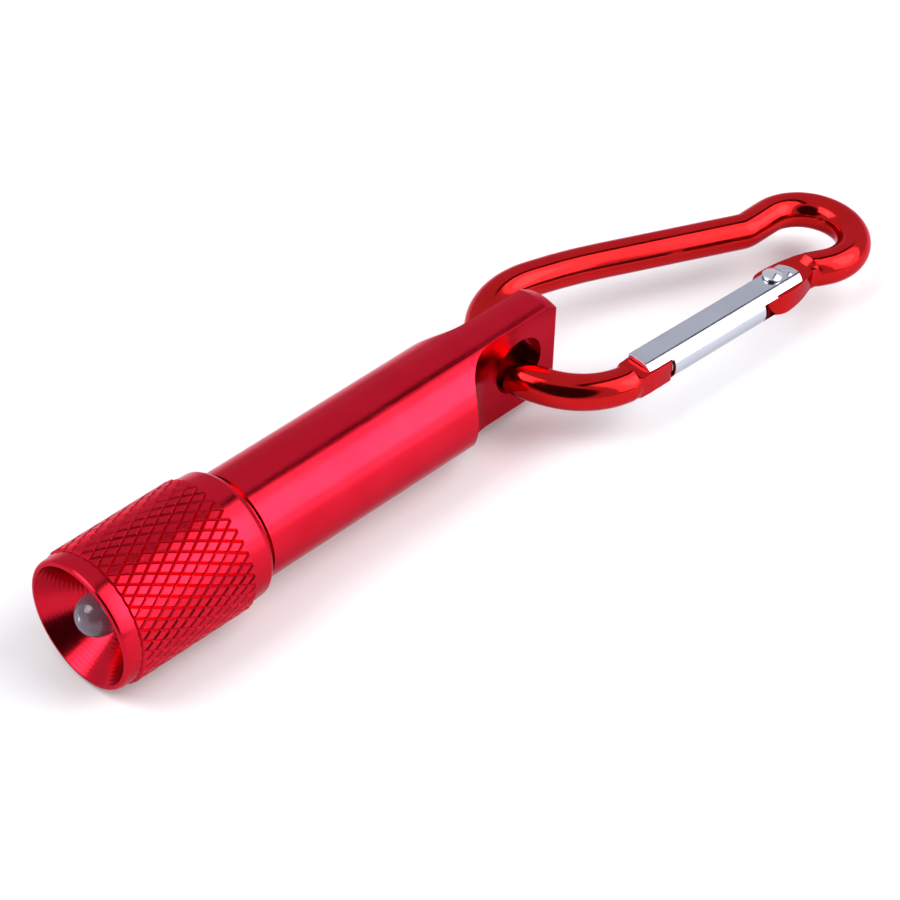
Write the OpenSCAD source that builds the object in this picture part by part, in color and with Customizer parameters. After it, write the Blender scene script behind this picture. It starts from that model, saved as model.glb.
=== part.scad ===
// Keychain flashlight: a twist-on aluminium torch with a snap hook through its tail.
// Torch coordinates: X runs along the torch, x = 0 at the rim of the head, tail at +X.
// The finished model is shifted so that its origin is the middle of the barrel's plain grip.

/* [Barrel] */
// Outside diameter of the barrel
barrel_d = 13.5; // [13.4:0.05:13.8]
// Where the barrel's front end stands, behind the rim
barrel_front = 12.5; // [12.4:0.05:12.6]
// Where the tail end stands, behind the rim
tail_end = 70.9; // [70.5:0.1:73]
// Diameter of the battery bore
bore_d = 11.94; // [11.9:0.01:11.96]
// Depth of the battery bore, from the barrel's front end
bore_depth = 25.5; // [25.5:0.5:30]

/* [Tail tab] */
// Thickness of the flat tab
tab_t = 4.5; // [4:0.1:5]
// Where the flats begin, behind the rim
tab_start = 60.35; // [59.5:0.05:61]
// Radius that the milling cutter leaves at the foot of the tab
cutter_r = 7; // [5:0.5:8]
// Diameter of the hole through the tab
tab_hole_d = 7.4; // [7.2:0.1:7.8]
// Place of that hole, behind the rim
tab_hole_x = 64.9; // [64.7:0.1:65.1]

/* [Head] */
// Diameter over the knurl
knurl_d = 16.6; // [16.4:0.1:17]
// Diameter of the smooth bands beside the knurl
band_d = 16; // [15.8:0.1:16.2]
// Length of the head
head_l = 21.4; // [21.2:0.1:22]
// Where the knurl begins, behind the rim
knurl_start = 2.3; // [2:0.1:3]
// Length of the knurl
knurl_l = 15.8; // [14:0.1:16]
// Diameter of the cone's mouth
mouth_d = 14.7; // [14:0.1:15]
// Depth of the cone
cone_depth = 6.4; // [5.5:0.1:6.6]

/* [Snap hook] */
// Wire diameter
wire_d = 4.4; // [4:0.1:4.4]
// How far the hook's plane droops toward its far end, in degrees
hook_droop = 1.95; // [0:0.05:3]
// Thickness of the pressed tongues at the wire's two ends
tongue_t = 2.9; // [2.6:0.1:3]
// Sheet thickness of the gate
gate_sheet = 0.5; // [0.4:0.05:0.5]
// Depth of the gate channel, from its open side to its back
gate_depth = 4.1; // [3.9:0.1:4.3]

/* [Hidden] */
$fn = 96;
eps = 0.01;

// Barrel and neck, as radii and places behind the rim
barrel_r = barrel_d / 2;
bore_r = bore_d / 2;
skirt_r = 7.17;           // inside of the head's skirt, over the seal ring
skirt_start = 18.6;       // where the skirt's wide bore begins
shoulder_x = 19.35;       // where the neck rises to the barrel's full radius, clear of a tight head
thread_r = 6.62;          // crest of the neck thread
thread_root_r = 6.35;
nut_r = 6.67;             // crest of the head's thread, just clear of the neck's
nut_root_r = 6.95;
thread_pitch = 0.8;
thread_start = 13.3;
thread_turns = 6;
thread_w = 0.64;          // width of each V at its mouth
seal_x = 20.25;           // middle of the seal ring
seal_cord_r = 0.38;
seal_r = skirt_r - seal_cord_r - 0.03;          // the ring just clears the skirt
seal_groove_r = seal_r - seal_cord_r - 0.02;
seal_groove_w = 2 * seal_cord_r + 0.1;
relief_from = 21.05;      // a shallow relief groove, under and just behind the head's edge
relief_to = 22.25;
relief_r = 6.4;
tail_chamfer_l = 1.7;
tail_chamfer_r = 0.9;
grip_end = tab_start - sqrt(pow(cutter_r, 2) - pow(cutter_r + tab_t / 2 - barrel_r, 2));
grip_mid = (head_l + grip_end) / 2;

// Lamp: a standard 5 mm lamp with its tip level with the rim
lamp_r = 2.5;
lamp_tip = 0.1;
lamp_base = 8.7;
lamp_flange_r = 2.9;
lamp_flange_t = 1;
lead_gap = 2.54;
lead_w = 0.5;
cup_r = 0.9;              // the cup that holds the chip
cup_mouth_r = 0.75;
cup_floor_r = 0.5;
cup_front = 3.5;
cup_back = 4.6;
cup_depth = 0.5;
post_front = 4;           // where the positive lead ends, inside the lens
neck_hole_r = 2.62;       // hole at the bottom of the cone
carrier_r = 6.1;
carrier_back = 11.9;
carrier_bore_r = 6.15;
lead_slot = lead_w + 0.1;
contact_r = 1.35;
contact_z = 0.65;
contact_nub_r = 0.8;
contact_nub_h = 0.5;

// Button cells, size 11.6 by 5.4
cell_r = 5.8;
cell_h = 5.4;
cell_count = 3;
cells_front = 13;
can_h = 5;
can_t = 0.25;
can_lip_r = 5.25;
cell_floor_t = 0.6;
cell_round = 0.3;
cap_r = 4.85;
sleeve_r = 5.92;
sleeve_end_gap = 0.3;
spring_wire_r = 0.3;
spring_turns = 4.5;
spring_front_r = 2.6;
spring_back_r = 5.4;
spring_front = cells_front + cell_count * cell_h;
spring_back = barrel_front + bore_depth;

// Snap hook, drawn flat in its own XY plane around the point where it hangs in the tab
wire_r = wire_d / 2;
hang_x = 64.3;
hang_z = -1;
// Corner points of the bent wire, each with its bend radius
wire_path = [
    [9.6, -12.3, 0], [3.1, -11, 9.7], [-1, -1.3, 9.7], [4.9, 11.6, 11.3], [19.1, 7.9, 60],
    [41.3, -1.6, 2.8], [50.3, -1.4, 6], [54.4, -17.1, 5.9], [40.6, -12, 0]
];
nose_from = 8.2;
nose_to = 14.6;
nose_low = -14.02;
nose_high = -9.98;
nose_flat_from = 8.84;    // where the nose's flat begins
ramp_l = 1.6;             // length of the slope from round wire to flat tongue
pivot = [34.8, -11.5];
hinge_tongue = [34.7, -12];
hinge_tongue_r = 2.65;
hinge_neck = [40.4, -11.8];
hinge_neck_half = 1.95;
hinge_flat_to = 39.6;     // where the hinge's flat ends
rivet_r = 0.9;
rivet_head_r = 1.25;
rivet_rim_h = 0.35;
rivet_dome_h = 0.4;
running_gap = 0.05;
gate_gap = tongue_t + 0.2;
gate_h = gate_gap + 2 * gate_sheet;
gate_bend_r = 2;
gate_back = -14.15;
gate_front = gate_back + gate_depth;
gate_nose = 10.9;
gate_lean = -0.9;         // how far the gate turns from the frame's own direction, in degrees
gate_end = [35.2, (gate_back + gate_front) / 2];
gate_end_r = 2.8;
web_from = 14.9;
web_to = 30.7;
dimple = [36.8, -12.1];
dimple_r = 1.65;          // radius of the ball that punches it
dimple_h = 0.2;
gate_spring_r = 0.3;

// ---------------------------------------------------------------- placing

module placed() translate([-grip_mid, 0, 0]) children();

// Turns a solid drawn along +Z so that it runs along +X, starting at x
module along_x(x) translate([x, 0, 0]) rotate([0, 90, 0]) children();

// Solid of revolution about the torch's axis from an outline of [place, radius] points
module turned(outline) rotate([0, 90, 0]) rotate_extrude() polygon([for (p = outline) [p[1], p[0]]]);

// The hook's own plane, set into the torch
module hooked() translate([hang_x, 0, hang_z]) rotate([0, hook_droop, 0]) children();

// ---------------------------------------------------------------- small shapes

// A ring of V section round the torch's axis: its mouth at radius r_mouth, its point at radius r_point
module v_ring(x, r_mouth, r_point)
    turned([[x - thread_w / 2, r_mouth], [x, r_point], [x + thread_w / 2, r_mouth]]);

function heading(a, b) = atan2(b[1] - a[1], b[0] - a[0]);
function wrapped(a) = a > 180 ? a - 360 : a < -180 ? a + 360 : a;
function turn(p, i) =
    i == 0 || i == len(p) - 1 ? 0 : wrapped(heading(p[i], p[i + 1]) - heading(p[i - 1], p[i]));
function setback(p, i) = abs(p[i][2] * tan(turn(p, i) / 2));

// Round wire bent in the XY plane through corner points [x, y, bend radius].
// A sleeve a few microns proud bridges each seam between a straight stretch and a bend.
module bent_wire(path, r) {
    sleeve_l = 0.12;
    sleeve_proud = 0.004;
    last = len(path) - 2;
    for (i = [0:last]) {
        a = heading(path[i], path[i + 1]);
        gap = norm([path[i + 1][0] - path[i][0], path[i + 1][1] - path[i][1]]);
        from = setback(path, i);
        to = gap - setback(path, i + 1);
        translate([path[i][0], path[i][1], 0]) rotate([0, 90, a]) {
            translate([0, 0, from]) cylinder(r = r, h = to - from);
            for (z = [if (i > 0) from, if (i < last) to])
                translate([0, 0, z - sleeve_l / 2]) cylinder(r = r + sleeve_proud, h = sleeve_l);
        }
    }
    for (i = [1:len(path) - 2]) {
        a = heading(path[i - 1], path[i]);
        side = sign(turn(path, i));
        start = [path[i][0] - setback(path, i) * cos(a), path[i][1] - setback(path, i) * sin(a)];
        centre = [start[0] - side * path[i][2] * sin(a), start[1] + side * path[i][2] * cos(a)];
        translate([centre[0], centre[1], 0])
            rotate([0, 0, side > 0 ? a - 90 : a + 90 + turn(path, i)])
                rotate_extrude(angle = abs(turn(path, i))) translate([path[i][2], 0]) circle(r = r);
    }
}

// A tapering coil of round wire about the torch's axis, swept ring by ring
module cone_coil(x0, x1, r0, r1, turns, wire) {
    per_turn = 24;
    sides = 8;
    rings = ceil(turns * per_turn);
    span = x1 - x0 - 2 * wire;
    points = [for (i = [0:rings]) let (f = i / rings, a = 360 * turns * f)
        for (k = [0:sides - 1]) let (b = 360 * k / sides, r = r0 + (r1 - r0) * f + wire * cos(b))
            [x0 + wire + span * f + wire * sin(b), r * cos(a), r * sin(a)]];
    walls = [for (i = [0:rings - 1]) for (k = [0:sides - 1]) let (n = (k + 1) % sides)
        [i * sides + k, (i + 1) * sides + k, (i + 1) * sides + n, i * sides + n]];
    first = [for (k = [0:sides - 1]) k];
    last = [for (k = [sides - 1:-1:0]) rings * sides + k];
    polyhedron(points, concat([first], walls, [last]), convexity = 8);
}

// ---------------------------------------------------------------- barrel

module tab_cutter() {
    reach = 30;
    translate([0, 0, -reach / 2]) linear_extrude(reach) {
        translate([tab_start, tab_t / 2]) square([reach, reach]);
        translate([tab_start, tab_t / 2 + cutter_r]) circle(r = cutter_r);
    }
}

module barrel() color([0.86, 0.07, 0.14]) {
    lead_in = 0.4;
    edge = 0.1;
    difference() {
        turned([
            [barrel_front, 0], [barrel_front, thread_r - lead_in], [barrel_front + lead_in, thread_r],
            [shoulder_x, thread_r], [shoulder_x, barrel_r - edge], [shoulder_x + edge, barrel_r],
            [tail_end - tail_chamfer_l, barrel_r], [tail_end, barrel_r - tail_chamfer_r], [tail_end, 0]
        ]);
        along_x(barrel_front - 1) cylinder(r = bore_r, h = bore_depth + 1);
        for (i = [0:thread_turns - 1])
            v_ring(thread_start + i * thread_pitch, thread_r + eps, thread_root_r);
        turned([
            [seal_x - seal_groove_w / 2, barrel_r + 1], [seal_x - seal_groove_w / 2, seal_groove_r],
            [seal_x + seal_groove_w / 2, seal_groove_r], [seal_x + seal_groove_w / 2, barrel_r + 1]
        ]);
        turned([
            [relief_from, barrel_r + 1], [relief_from, relief_r], [relief_to, relief_r], [relief_to, barrel_r + 1]
        ]);
        tab_cutter();
        mirror([0, 1, 0]) tab_cutter();
        translate([tab_hole_x, barrel_d, 0]) rotate([90, 0, 0]) cylinder(d = tab_hole_d, h = 2 * barrel_d);
    }
}

module neck_seal_ring() color([0.08, 0.08, 0.09])
    along_x(seal_x) rotate_extrude() translate([seal_r, 0]) circle(r = seal_cord_r, $fn = 32);

// ---------------------------------------------------------------- battery

module battery_sleeve() color([0.12, 0.25, 0.5])
    along_x(cells_front + sleeve_end_gap) difference() {
        cylinder(r = sleeve_r, h = cell_count * cell_h - 2 * sleeve_end_gap);
        translate([0, 0, -1]) cylinder(r = cell_r, h = cell_count * cell_h + 2);
    }

function cell_x(i) = cells_front + (i - 1) * cell_h;

// The space inside a can: wide up to its rolled lip, then narrower through the lip to x_end
module can_inside(i, x_end) {
    along_x(cell_x(i) + cell_floor_t) cylinder(r = cell_r - can_t, h = can_h - can_t - cell_floor_t);
    along_x(cell_x(i) + cell_floor_t) cylinder(r = can_lip_r - can_t, h = x_end - cell_floor_t);
}

module cell_can(i) color([0.75, 0.76, 0.78])
    difference() {
        turned([
            [cell_x(i), 0], [cell_x(i), cell_r - cell_round], [cell_x(i) + cell_round, cell_r],
            [cell_x(i) + can_h - can_t, cell_r], [cell_x(i) + can_h, can_lip_r], [cell_x(i) + can_h, 0]
        ]);
        can_inside(i, can_h + 1);
    }

module cell_gasket(i) color([0.1, 0.35, 0.6]) {
    lip = 0.15;
    difference() {
        can_inside(i, can_h + lip);
        along_x(cell_x(i)) cylinder(r = cap_r, h = cell_h + 1);
    }
}

module cell_cap(i) color([0.83, 0.82, 0.78])
    turned([
        [cell_x(i) + cell_floor_t, 0], [cell_x(i) + cell_floor_t, cap_r],
        [cell_x(i) + cell_h - cell_round, cap_r], [cell_x(i) + cell_h, cap_r - cell_round], [cell_x(i) + cell_h, 0]
    ]);

module tail_spring() color([0.7, 0.71, 0.74])
    cone_coil(spring_front, spring_back, spring_front_r, spring_back_r, spring_turns, spring_wire_r);

// ---------------------------------------------------------------- head

module head_shell() color([0.88, 0.08, 0.16]) {
    knurl_r = knurl_d / 2;
    band_r = band_d / 2;
    rim_r = band_r - 0.3;
    rim_round = 0.6;
    taper = 0.15;             // how much smaller the band behind the knurl is at its end
    knurl_end = knurl_start + knurl_l;
    step = 0.25;
    tail_chamfer = 0.6;
    mouth_edge = 0.1;
    pocket_back = carrier_back - 0.05;
    pocket_slope = 0.3;
    flange_gap = 0.1;
    wall_back = lamp_base - lamp_flange_t - flange_gap;
    difference() {
        turned([
            [0, mouth_d / 2], [0, rim_r], [rim_round, band_r], [knurl_start, band_r],
            [knurl_start + step, knurl_r], [knurl_end - step, knurl_r], [knurl_end, band_r - taper / 3],
            [head_l - tail_chamfer, band_r - taper], [head_l, band_r - tail_chamfer], [head_l, skirt_r + mouth_edge],
            [head_l - mouth_edge, skirt_r], [skirt_start, skirt_r], [skirt_start, nut_r],
            [pocket_back, nut_r], [pocket_back - pocket_slope, carrier_bore_r], [lamp_base, carrier_bore_r],
            [lamp_base, lamp_flange_r + flange_gap], [wall_back, lamp_flange_r + flange_gap],
            [wall_back, neck_hole_r], [cone_depth, neck_hole_r]
        ]);
        for (i = [0:thread_turns - 1])
            v_ring(thread_start + (i + 0.5) * thread_pitch, nut_r - eps, nut_root_r);
    }
}

// ---------------------------------------------------------------- lamp

// One square lead of the lamp, from x0 to x1 at height z
module lead(x0, x1, z) translate([x0, -lead_w / 2, z - lead_w / 2]) cube([x1 - x0, lead_w, lead_w]);

module cup_recess() along_x(cup_front) cylinder(r1 = cup_mouth_r, r2 = cup_floor_r, h = cup_depth, $fn = 48);

// The lamp's negative lead with its cup, before the cup is hollowed
module cathode_blank() {
    foot_end = -carrier_r + 0.3;
    lead(cup_back - eps, carrier_back, -lead_gap / 2);
    translate([carrier_back - lead_w, -lead_w / 2, foot_end]) cube([lead_w, lead_w, -lead_gap / 2 - foot_end]);
    translate([cup_back - lead_w, -lead_w / 2, -(lead_gap + lead_w) / 2]) cube([lead_w, lead_w, lead_gap / 2]);
    along_x(cup_front) cylinder(r = cup_r, h = cup_back - cup_front, $fn = 48);
}

module led_cathode_lead() color([0.72, 0.73, 0.75])
    difference() {
        cathode_blank();
        cup_recess();
    }

module led_anode_lead() color([0.72, 0.73, 0.75]) lead(post_front, carrier_back - lead_w, lead_gap / 2);

module led_chip() color([0.95, 0.85, 0.25]) cup_recess();

module led_lens() color([0.85, 0.9, 0.95, 0.5]) {
    dome_x = lamp_tip + lamp_r;
    difference() {
        union() {
            translate([dome_x, 0, 0]) sphere(r = lamp_r);
            along_x(dome_x) cylinder(r = lamp_r, h = lamp_base - dome_x);
            along_x(lamp_base - lamp_flange_t) cylinder(r = lamp_flange_r, h = lamp_flange_t);
        }
        cathode_blank();
        lead(post_front, lamp_base + 1, lead_gap / 2);
        // the flat that marks the lamp's negative side
        translate([lamp_base, 0, -lamp_r - lamp_flange_r]) cube(2 * lamp_flange_r, center = true);
    }
}

module led_carrier() color([0.92, 0.92, 0.9])
    difference() {
        along_x(lamp_base) cylinder(r = carrier_r, h = carrier_back - lamp_base);
        for (z = [-1, 1] * lead_gap / 2)
            translate([lamp_base - 1, -lead_slot / 2, z - lead_slot / 2]) cube([carrier_r, lead_slot, lead_slot]);
        translate([carrier_back - lead_w - 0.05, -lead_slot / 2, -carrier_r - 1])
            cube([lead_w + 1, lead_slot, carrier_r + 1 - lead_gap / 2]);
        translate([0, 0, contact_z]) along_x(carrier_back - lead_w) cylinder(r = contact_r + 0.02, h = 1);
    }

module front_contact() color([0.8, 0.65, 0.3]) {
    translate([0, 0, contact_z]) along_x(carrier_back - lead_w) cylinder(r = contact_r, h = lead_w);
    along_x(carrier_back - eps) cylinder(r1 = contact_nub_r, r2 = contact_nub_r - 0.3, h = contact_nub_h + eps);
}

// ---------------------------------------------------------------- snap hook

// Cuts the round wire down to the tongue, above and below. The flat ends at x, where a slope rises
// to the wire's full thickness, toward +X for way = 1 and toward -X for way = -1.
module tongue_cut(x, way) {
    reach = 12;
    above = wire_r + 2;
    for (s = [-1, 1])
        translate([x, -1, 0]) rotate([90, 0, 0]) linear_extrude(reach + 4)
            polygon([
                [0, s * tongue_t / 2], [way * ramp_l, s * (wire_r + eps)], [way * ramp_l, s * above],
                [-way * reach, s * above], [-way * reach, s * tongue_t / 2]
            ]);
}

module nose_tongue() {
    corner = 0.5;
    translate([0, 0, -tongue_t / 2]) linear_extrude(tongue_t) {
        translate([nose_from, nose_low + corner]) square([nose_to - nose_from, nose_high - nose_low - 2 * corner]);
        translate([nose_from, nose_low]) square([nose_to - nose_from - corner, nose_high - nose_low]);
        for (y = [nose_low + corner, nose_high - corner]) translate([nose_to - corner, y]) circle(r = corner);
    }
}

module hinge_tongue() {
    translate([0, 0, -tongue_t / 2]) linear_extrude(tongue_t) {
        translate(hinge_tongue) circle(r = hinge_tongue_r);
        polygon([
            hinge_tongue - [0, hinge_tongue_r], hinge_neck - [0, hinge_neck_half],
            hinge_neck + [0, hinge_neck_half], hinge_tongue + [0, hinge_tongue_r]
        ]);
    }
}

module hook_frame() color([0.8, 0.06, 0.08]) {
    difference() {
        union() {
            difference() {
                bent_wire(wire_path, wire_r);
                tongue_cut(nose_flat_from, -1);
                tongue_cut(hinge_flat_to, 1);
            }
            nose_tongue();
            hinge_tongue();
        }
        translate([pivot[0], pivot[1], -gate_h]) cylinder(r = rivet_r + running_gap, h = 2 * gate_h);
    }
}

// Section of the gate channel: a U with a rounded back, drawn as (depth from the back, height)
module gate_section(inset) {
    r = gate_bend_r - inset;
    half = gate_h / 2 - inset;
    translate([gate_bend_r, -half]) square([gate_depth - gate_bend_r + inset * 2, 2 * half]);
    translate([inset, -(half - r)]) square([gate_bend_r, 2 * (half - r)]);
    for (s = [-1, 1]) translate([gate_bend_r, s * (half - r)]) circle(r = r);
}

// The gate's outline from above: small round corners at the nose, a round hinge end
module gate_plan() {
    corner = 0.6;
    translate([gate_nose, gate_back + corner]) square([gate_end[0] - gate_nose, gate_depth - 2 * corner]);
    translate([gate_nose + corner, gate_back]) square([gate_end[0] - gate_nose - corner, gate_depth]);
    for (y = [gate_back + corner, gate_front - corner]) translate([gate_nose + corner, y]) circle(r = corner);
    intersection() {
        translate(gate_end) circle(r = gate_end_r);
        translate([gate_end[0], gate_back]) square([gate_end_r, gate_depth]);
    }
}

// Turns the gate's pieces a little about their nose, toward the hinge
module leaned() translate([gate_nose, gate_end[1], 0]) rotate([0, 0, gate_lean])
    translate([-gate_nose, -gate_end[1], 0]) children();

// The folded sheet with its back cut away at both ends, which leaves two arms there
module folded_sheet() {
    blank_l = 40;
    difference() {
        intersection() {
            translate([gate_nose, gate_back, 0]) rotate([90, 0, 90]) linear_extrude(blank_l) difference() {
                gate_section(0);
                gate_section(gate_sheet);
            }
            translate([0, 0, -gate_h]) linear_extrude(2 * gate_h) gate_plan();
        }
        for (x = [[gate_nose - 1, web_from], [web_to, gate_end[0] + gate_end_r + 1]])
            translate([x[0], gate_back - 1, -gate_gap / 2]) cube([x[1] - x[0], gate_bend_r + 1, gate_gap]);
    }
}

module gate_channel() color([0.82, 0.83, 0.85]) {
    top = gate_h / 2;
    difference() {
        union() {
            leaned() folded_sheet();
            intersection() {
                translate([dimple[0], dimple[1], top + dimple_h - dimple_r]) sphere(r = dimple_r);
                translate([dimple[0], dimple[1], top - gate_sheet / 2]) cylinder(r = dimple_r, h = 1);
            }
        }
        translate([pivot[0], pivot[1], -gate_h]) cylinder(r = rivet_r, h = 2 * gate_h);
    }
}

module gate_rivet() color([0.87, 0.87, 0.88]) {
    dome_r = (pow(rivet_head_r, 2) + pow(rivet_dome_h, 2)) / (2 * rivet_dome_h);
    translate([pivot[0], pivot[1], 0]) {
        cylinder(r = rivet_r, h = gate_h + 2 * eps, center = true);
        for (s = [0, 1]) mirror([0, 0, s]) translate([0, 0, gate_h / 2]) {
            cylinder(r = rivet_head_r, h = rivet_rim_h);
            intersection() {
                translate([0, 0, rivet_rim_h + rivet_dome_h - dome_r]) sphere(r = dome_r);
                translate([0, 0, rivet_rim_h - eps]) cylinder(r = rivet_head_r, h = rivet_dome_h + 1);
            }
        }
    }
}

module gate_spring() color([0.6, 0.62, 0.66]) {
    y_rest = gate_back + gate_sheet + gate_spring_r + 0.02;
    leaned() bent_wire([[31.7, -11.9, 0], [29.6, y_rest, 1.5], [17, y_rest, 0]], gate_spring_r);
}

// ---------------------------------------------------------------- what is drawn

placed() barrel();
placed() neck_seal_ring();
placed() battery_sleeve();
placed() cell_can(1);  // cell_can_1
placed() cell_can(2);  // cell_can_2
placed() cell_can(3);  // cell_can_3
placed() cell_gasket(1);  // cell_gasket_1
placed() cell_gasket(2);  // cell_gasket_2
placed() cell_gasket(3);  // cell_gasket_3
placed() cell_cap(1);  // cell_cap_1
placed() cell_cap(2);  // cell_cap_2
placed() cell_cap(3);  // cell_cap_3
placed() tail_spring();
placed() head_shell();
placed() led_lens();
placed() led_cathode_lead();
placed() led_anode_lead();
placed() led_chip();
placed() led_carrier();
placed() front_contact();
placed() hooked() hook_frame();
placed() hooked() gate_channel();
placed() hooked() gate_rivet();
placed() hooked() gate_spring();
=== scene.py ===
# %% [markdown]
# # A keychain flashlight
#
# The real thing is a small torch turned from aluminium and dyed red, with a bent-wire
# snap hook through a flat tab at its tail. This notebook builds its looks around the
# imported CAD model. The CAD nodes give every size and place, so the first cell loads them
# and keeps their outer box. All lengths are in metres, and the torch lies along X.

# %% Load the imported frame
import math

import bpy
from mathutils import Matrix, Vector


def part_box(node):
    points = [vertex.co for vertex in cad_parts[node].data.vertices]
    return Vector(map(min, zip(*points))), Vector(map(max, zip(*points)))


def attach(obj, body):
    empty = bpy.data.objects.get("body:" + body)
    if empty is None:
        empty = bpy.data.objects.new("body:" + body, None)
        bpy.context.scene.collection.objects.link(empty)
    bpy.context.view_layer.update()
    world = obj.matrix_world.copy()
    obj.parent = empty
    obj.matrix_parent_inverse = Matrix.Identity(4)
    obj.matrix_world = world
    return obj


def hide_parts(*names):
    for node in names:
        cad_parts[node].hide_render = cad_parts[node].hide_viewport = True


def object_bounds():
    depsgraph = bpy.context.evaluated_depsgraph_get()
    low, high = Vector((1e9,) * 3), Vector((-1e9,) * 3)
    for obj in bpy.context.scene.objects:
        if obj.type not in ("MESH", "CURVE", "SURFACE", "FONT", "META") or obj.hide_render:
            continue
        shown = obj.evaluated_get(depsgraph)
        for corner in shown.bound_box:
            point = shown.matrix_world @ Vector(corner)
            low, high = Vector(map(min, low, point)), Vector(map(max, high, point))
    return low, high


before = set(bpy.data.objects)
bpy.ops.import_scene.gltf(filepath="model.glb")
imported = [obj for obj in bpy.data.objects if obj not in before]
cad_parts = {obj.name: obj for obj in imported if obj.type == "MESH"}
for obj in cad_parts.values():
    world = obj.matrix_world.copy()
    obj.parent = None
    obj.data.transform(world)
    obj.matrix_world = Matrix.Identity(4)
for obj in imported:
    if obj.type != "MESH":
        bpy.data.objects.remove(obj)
cad_low, cad_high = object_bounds()
MM = 0.001
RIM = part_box("head_shell")[0].x  # the torch's front edge, from which every station along X is counted
FLOOR = cad_low.z
print("CAD box in mm:", [round(v / MM, 2) for v in cad_high - cad_low])


# %% [markdown]
# ## The camera
#
# A product picture of a small thing is taken from well back with a long lens, which keeps
# the near end from swelling. Two angles and a slight roll set where the camera looks, so
# they are turned into the three directions of its own axes.

# %% Place the camera
CAMERA_AZIMUTH, CAMERA_ELEVATION, CAMERA_ROLL = -46.162, 42.130, 2.053
CAMERA_PLACE = (-0.196388, -0.206458, 0.260253)
LENS, SENSOR = 137.10, 36
NEAREST, FARTHEST = 0.01, 20

azimuth, elevation, roll = (
    math.radians(v) for v in (CAMERA_AZIMUTH, CAMERA_ELEVATION, CAMERA_ROLL))
toward_camera = Vector((
    math.sin(azimuth) * math.cos(elevation), -math.cos(azimuth) * math.cos(elevation), math.sin(elevation)))
level_right = Vector((math.cos(azimuth), math.sin(azimuth), 0))
level_up = toward_camera.cross(level_right)
camera_right = math.cos(roll) * level_right + math.sin(roll) * level_up
camera_up = math.cos(roll) * level_up - math.sin(roll) * level_right
bpy.ops.object.camera_add()
camera = bpy.context.object
camera.data.lens = LENS
camera.data.sensor_width = SENSOR
camera.data.clip_start, camera.data.clip_end = NEAREST, FARTHEST
camera.matrix_world = Matrix.Translation(CAMERA_PLACE) @ Matrix(
    (camera_right, camera_up, toward_camera)).transposed().to_4x4()
bpy.context.scene.camera = camera
print("camera looks along", [round(v, 3) for v in -toward_camera])


# %% [markdown]
# ## The studio
#
# Polished metal shows the room that it stands in. The room here is an even pale surround
# with one dark side, a large softbox to the right of the camera and a smaller one high on
# the left. Each softbox is a wide panel with a hotter middle, made of two area lights,
# because a real diffuser is brightest in front of its lamp. A narrow black flag along the
# right softbox's top edge draws the dark line that polished bends show beside their
# highlight.

# %% Paint the surround
ROOM_COLOUR = (0.86, 0.88, 0.93)
DARK_COLOUR = (0.05, 0.05, 0.055)
DARK_SIDE = (-0.66, -0.45, 0.55)
DARK_SIDE_FROM, DARK_SIDE_TO = 0.80, 0.87


def paint_surround():
    """An even pale room with one dark side on the left, where nobody puts a lamp."""
    world = bpy.data.worlds.new("studio_room")
    bpy.context.scene.world = world
    world.use_nodes = True
    nodes, links = world.node_tree.nodes, world.node_tree.links
    place = nodes.new("ShaderNodeTexCoord")
    dark_side = nodes.new("ShaderNodeVectorMath")
    dark_side.operation = "DOT_PRODUCT"
    dark_side.inputs[1].default_value = Vector(DARK_SIDE).normalized()
    shade = nodes.new("ShaderNodeValToRGB")
    shade.color_ramp.elements[0].position = DARK_SIDE_FROM
    shade.color_ramp.elements[0].color = (*ROOM_COLOUR, 1)
    shade.color_ramp.elements[1].position = DARK_SIDE_TO
    shade.color_ramp.elements[1].color = (*DARK_COLOUR, 1)
    links.new(place.outputs["Generated"], dark_side.inputs[0])
    links.new(dark_side.outputs["Value"], shade.inputs[0])
    links.new(shade.outputs[0], nodes["Background"].inputs["Color"])


paint_surround()
print("room painted, dark towards", DARK_SIDE)

# %% Hang the softboxes and the flag
LIGHT_DISTANCE = 0.9
CORE_NEARER = 0.01
RIGHT_LIGHT, RIGHT_UP = (0.535, -0.618, 0.576), (0, 0.682, 0.731)
LEFT_LIGHT, LEFT_UP = (-0.54, 0.34, 0.77), (0.6, 0.3, 0.7)


def facing(direction, upward):
    """The three directions of a panel that faces the torch: its side, its up and its back."""
    out = Vector(direction).normalized()
    up = (Vector(upward) - Vector(upward).dot(out) * out).normalized()
    return up.cross(out), up, out


def hang_softbox(name, direction, upward, width, height, brightness, core, core_share):
    """Two area lights, one inside the other, that face the torch from a direction."""
    side, up, out = facing(direction, upward)
    parts = (("panel", 1.0, brightness, 0.0), ("core", core_share, core, CORE_NEARER))
    for part, share, glow, nearer in parts:
        bpy.ops.object.light_add(type="AREA")
        lamp = bpy.context.object
        lamp.name = f"{name}_{part}"
        lamp.data.shape = "ELLIPSE" if part == "core" else "RECTANGLE"
        lamp.data.size, lamp.data.size_y = width * share, height * share
        lamp.data.energy = glow * math.pi * lamp.data.size * lamp.data.size_y
        lamp.visible_camera = False
        lamp.matrix_world = Matrix.Translation(out * (LIGHT_DISTANCE - nearer)) @ Matrix(
            (side, up, out)).transposed().to_4x4()


def hang_flag(name, direction, upward, offset, width, height):
    """A black strip beside a softbox, which shows only in reflections."""
    side, up, out = facing(direction, upward)
    bpy.ops.mesh.primitive_plane_add(size=1)
    flag = bpy.context.object
    flag.name = name
    flag.matrix_world = Matrix.Translation(out * LIGHT_DISTANCE + up * offset) @ Matrix(
        (side, up, out)).transposed().to_4x4() @ Matrix.Diagonal((width, height, 1, 1))
    flag.visible_camera = False
    return flag


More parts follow.
